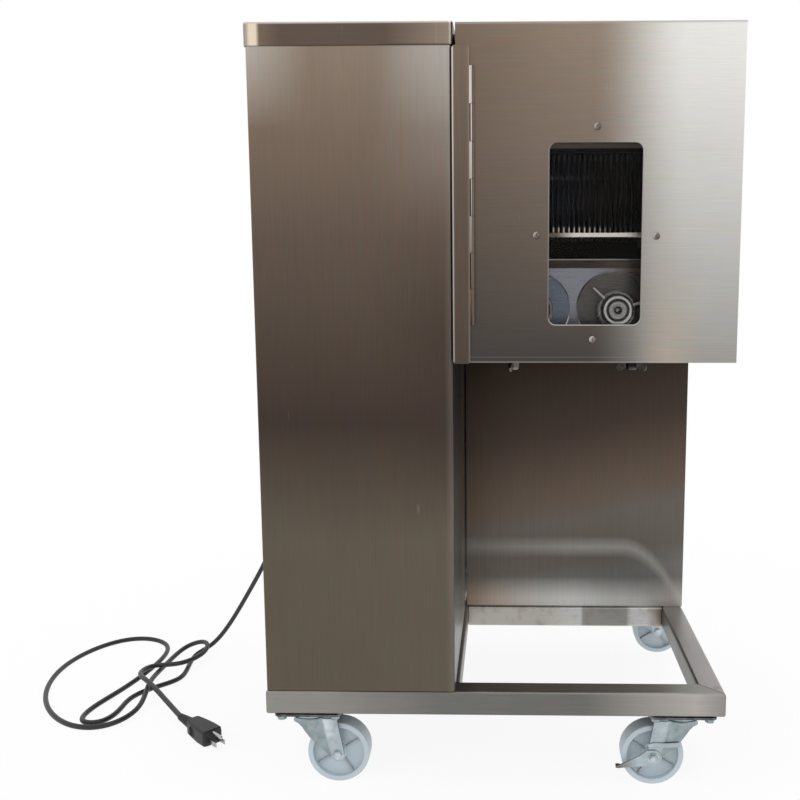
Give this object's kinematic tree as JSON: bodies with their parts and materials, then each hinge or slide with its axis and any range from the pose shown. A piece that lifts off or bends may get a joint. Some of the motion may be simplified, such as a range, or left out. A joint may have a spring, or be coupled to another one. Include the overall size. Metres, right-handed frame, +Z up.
{
  "type": "electric meat strip slicer",
  "caption": "Floor-standing stainless meat strip slicer: drive cabinet, feed chute, crossed blade rollers behind a windowed door, square-tube frame on casters, mains lead.",
  "frame": {"origin": "on the floor, under the middle of the machine without its free lead", "axes": "+Z up, -Y to the front with the door, +X to the right, away from the drive cabinet"},
  "size_m": [0.9822, 0.4769, 0.893],
  "materials": {
    "stainless": "vertically brushed stainless sheet with a warm grey sheen",
    "bright_steel": "brushed and turned stainless, brighter than the sheet",
    "zinc": "bright zinc plate with a faint blue-grey cast",
    "plain_steel": "plain satin steel",
    "machine_grey": "grey machine enamel",
    "wheel_grey": "pale grey hard rubber and nylon",
    "black_rubber": "black rubber with a soft sheen",
    "black_moulding": "black moulded plastic",
    "pane": "clear acrylic, smoked by the dark chamber behind it",
    "green": "green gloss plastic",
    "red": "red gloss plastic"
  },
  "bodies": {
    "machine": {"front_rail": "bright_steel", "rear_rail": "bright_steel", "left_rail": "bright_steel", "right_rail": "bright_steel", "mid_rail": "bright_steel", "cross_rail": "bright_steel", "support_rail": "bright_steel", "hinge_strip": "bright_steel", "upper_left_plate": "bright_steel", "upper_right_plate": "bright_steel", "lower_front_plate": "bright_steel", "lower_rear_plate": "bright_steel", "lower_left_flange": "bright_steel", "lower_right_flange": "bright_steel", "cabinet_shell": "stainless", "cabinet_back": "stainless", "cabinet_lid": "stainless", "housing_panel": "stainless", "housing_cover": "stainless", "chamber_side": "stainless", "feed_chute": "stainless", "front_left_caster_plate": "zinc", "front_right_caster_plate": "zinc", "rear_left_caster_plate": "zinc", "rear_right_caster_plate": "zinc", "cabinet_floor": "plain_steel", "upper_front_comb": "plain_steel", "upper_rear_comb": "plain_steel", "lower_left_comb": "plain_steel", "lower_right_comb": "plain_steel", "drive_plate": "plain_steel", "motor": "machine_grey", "gearbox": "machine_grey", "drive_belt": "black_rubber", "cross_belt": "black_rubber", "power_cord": "black_rubber", "cord_gland": "black_moulding", "power_plug": "black_moulding"},
    "front_left_fork": {"front_left_caster_fork": "zinc"},
    "front_left_wheel": {"front_left_wheel": "wheel_grey"},
    "front_right_fork": {"front_right_caster_fork": "zinc"},
    "front_right_wheel": {"front_right_wheel": "wheel_grey"},
    "rear_left_fork": {"rear_left_caster_fork": "zinc"},
    "rear_left_wheel": {"rear_left_wheel": "wheel_grey"},
    "rear_right_fork": {"rear_right_caster_fork": "zinc"},
    "rear_right_wheel": {"rear_right_wheel": "wheel_grey"},
    "brake_pedal": {"front_right_brake_pedal": "zinc"},
    "door": {"door": "stainless", "window_pane": "pane"},
    "upper_front_roller": {"upper_front_roller": "bright_steel"},
    "upper_rear_roller": {"upper_rear_roller": "bright_steel"},
    "lower_left_roller": {"lower_left_roller": "bright_steel"},
    "lower_right_roller": {"lower_right_roller": "bright_steel"},
    "jack_shaft": {"jack_shaft": "machine_grey"},
    "motor_pulley": {"motor_pulley": "machine_grey"},
    "left_wing_screw": {"left_wing_screw": "bright_steel"},
    "right_wing_screw": {"right_wing_screw": "bright_steel"},
    "start_button": {"start_button": "green"},
    "stop_button": {"stop_button": "red"}
  },
  "joints": [
    {"name": "front_left_swivel", "type": "hinge", "parent": "machine", "child": "front_left_fork", "pos_m": [-0.226, -0.205, 0.085], "axis": [0, 0, 1], "continuous": true},
    {"name": "front_left_wheel_spin", "type": "hinge", "parent": "front_left_fork", "child": "front_left_wheel", "pos_m": [-0.192, -0.205, 0.038], "axis": [0, 1, 0], "continuous": true},
    {"name": "front_right_swivel", "type": "hinge", "parent": "machine", "child": "front_right_fork", "pos_m": [0.226, -0.205, 0.085], "axis": [0, 0, 1], "continuous": true},
    {"name": "front_right_wheel_spin", "type": "hinge", "parent": "front_right_fork", "child": "front_right_wheel", "pos_m": [0.192, -0.205, 0.038], "axis": [0, 1, 0], "continuous": true},
    {"name": "rear_left_swivel", "type": "hinge", "parent": "machine", "child": "rear_left_fork", "pos_m": [-0.226, 0.205, 0.085], "axis": [0, 0, 1], "continuous": true},
    {"name": "rear_left_wheel_spin", "type": "hinge", "parent": "rear_left_fork", "child": "rear_left_wheel", "pos_m": [-0.26, 0.205, 0.038], "axis": [0, 1, 0], "continuous": true},
    {"name": "rear_right_swivel", "type": "hinge", "parent": "machine", "child": "rear_right_fork", "pos_m": [0.226, 0.205, 0.085], "axis": [0, 0, 1], "continuous": true},
    {"name": "rear_right_wheel_spin", "type": "hinge", "parent": "rear_right_fork", "child": "rear_right_wheel", "pos_m": [0.26, 0.205, 0.038], "axis": [0, 1, 0], "continuous": true},
    {"name": "brake_pedal_hinge", "type": "hinge", "parent": "front_right_fork", "child": "brake_pedal", "pos_m": [0.192, -0.205, 0.038], "axis": [0, -1, 0], "range_deg": [0, 20]},
    {"name": "door_hinge", "type": "hinge", "parent": "machine", "child": "door", "pos_m": [-0.0245, -0.23775, 0.7], "axis": [0, 0, -1], "range_deg": [0, 110]},
    {"name": "upper_rear_spin", "type": "hinge", "parent": "machine", "child": "upper_rear_roller", "pos_m": [0.1, -0.0375, 0.714], "axis": [1, 0, 0], "continuous": true},
    {"name": "upper_front_spin", "type": "hinge", "parent": "machine", "child": "upper_front_roller", "pos_m": [0.1, -0.1325, 0.714], "axis": [1, 0, 0], "continuous": true},
    {"name": "jack_spin", "type": "hinge", "parent": "machine", "child": "jack_shaft", "pos_m": [-0.15, 0.12, 0.714], "axis": [0, 1, 0], "continuous": true},
    {"name": "lower_left_spin", "type": "hinge", "parent": "machine", "child": "lower_left_roller", "pos_m": [0.045, -0.06, 0.579], "axis": [0, 1, 0], "continuous": true},
    {"name": "lower_right_spin", "type": "hinge", "parent": "machine", "child": "lower_right_roller", "pos_m": [0.14, -0.06, 0.579], "axis": [0, 1, 0], "continuous": true},
    {"name": "motor_spin", "type": "hinge", "parent": "machine", "child": "motor_pulley", "pos_m": [-0.16, 0.1, 0.25], "axis": [0, 1, 0], "continuous": true},
    {"name": "left_wing_spin", "type": "hinge", "parent": "machine", "child": "left_wing_screw", "pos_m": [0.022, -0.171, 0.51], "axis": [0, 0, 1], "continuous": true},
    {"name": "right_wing_spin", "type": "hinge", "parent": "machine", "child": "right_wing_screw", "pos_m": [0.163, -0.171, 0.51], "axis": [0, 0, 1], "continuous": true},
    {"name": "start_button_press", "type": "slide", "parent": "machine", "child": "start_button", "axis": [1, 0, 0], "range_m": [0, 0.004], "stiffness_N_per_m": 300, "springref_m": -0.001},
    {"name": "stop_button_press", "type": "slide", "parent": "machine", "child": "stop_button", "axis": [1, 0, 0], "range_m": [0, 0.004], "stiffness_N_per_m": 300, "springref_m": -0.001}
  ],
  "couplings": [
    {"joint": "upper_front_spin", "follows": "upper_rear_spin", "ratio": -1},
    {"joint": "jack_spin", "follows": "upper_rear_spin", "ratio": 1},
    {"joint": "lower_left_spin", "follows": "upper_rear_spin", "ratio": 1},
    {"joint": "lower_right_spin", "follows": "upper_rear_spin", "ratio": -1},
    {"joint": "motor_spin", "follows": "upper_rear_spin", "ratio": 2.5}
  ]
}
